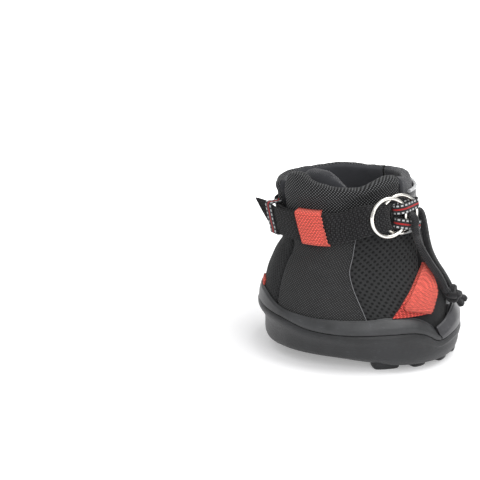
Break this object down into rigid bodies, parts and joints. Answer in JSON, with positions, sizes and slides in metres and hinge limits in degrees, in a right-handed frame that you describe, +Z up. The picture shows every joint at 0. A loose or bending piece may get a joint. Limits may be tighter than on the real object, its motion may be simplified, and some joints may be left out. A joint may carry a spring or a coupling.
{
  "type": "horse hoof boot",
  "caption": "Pull-on hoof boot for a horse: treaded rubber sole, fabric and mesh upper with a padded collar, pastern strap on double rings, and a knotted pull cord.",
  "frame": {"origin": "centre of the boot's footprint box without the cord, on the ground under the lugs", "axes": "+X from heel to toe, -Y towards the lateral side that carries the rings, +Z up"},
  "size_m": [0.1743, 0.146, 0.1565],
  "materials": {
    "sole_rubber": "satin moulded rubber",
    "toe_rubber": "smooth rubber",
    "foam": "matt foam",
    "woven_nylon": "woven nylon",
    "air_mesh": "mesh with small holes",
    "stretch_knit": "plain knit",
    "lining_cloth": "soft knit",
    "synthetic_leather": "smooth",
    "reflective_piping": "reflective",
    "red_webbing": "woven webbing",
    "black_webbing": "woven webbing",
    "striped_tape": "woven tape, red line and pale dots",
    "ring_steel": "polished",
    "cord": "braided cord"
  },
  "bodies": {
    "boot": {"collar_lateral": "woven_nylon", "collar_medial": "woven_nylon", "cord_knot": "cord", "footbed": "foam", "front_red_loop": "red_webbing", "front_shield": "synthetic_leather", "front_tab": "synthetic_leather", "heel_keeper": "striped_tape", "heel_panel": "air_mesh", "heel_tag": "red_webbing", "inner_ring": "ring_steel", "lining": "lining_cloth", "medial_keeper": "striped_tape", "outsole": "sole_rubber", "pastern_strap": "black_webbing", "pull_cord": "cord", "quarter_lateral": "woven_nylon", "quarter_medial": "woven_nylon", "rand": "sole_rubber", "red_loop_lateral": "red_webbing", "red_loop_medial": "red_webbing", "red_strap_lateral": "red_webbing", "red_strap_medial": "red_webbing", "ring_tape_lower": "striped_tape", "ring_tape_upper": "striped_tape", "shield_piping_lateral": "reflective_piping", "shield_piping_medial": "reflective_piping", "side_mesh_lateral": "air_mesh", "side_mesh_medial": "air_mesh", "stretch_panel_lateral": "stretch_knit", "stretch_panel_medial": "stretch_knit", "tab_piping_lower": "reflective_piping", "tab_piping_upper": "reflective_piping", "toe_button": "toe_rubber", "toe_cap": "toe_rubber", "tongue": "lining_cloth"},
    "outer_ring": {"outer_ring": "ring_steel"},
    "strap_tail": {"strap_tail": "black_webbing"}
  },
  "joints": [
    {"name": "ring_lift", "type": "hinge", "parent": "boot", "child": "outer_ring", "pos_m": [0.02848, -0.04945, 0.12732], "axis": [-0.1153, 0.0509, 0.992], "range_deg": [0, 60], "deforming": ["ring_tape_upper", "ring_tape_lower"]},
    {"name": "tail_swing", "type": "hinge", "parent": "boot", "child": "strap_tail", "pos_m": [-0.07325, -0.00659, 0.11402], "axis": [0.2151, 0.0217, -0.9763], "range_deg": [-10, 35]}
  ]
}
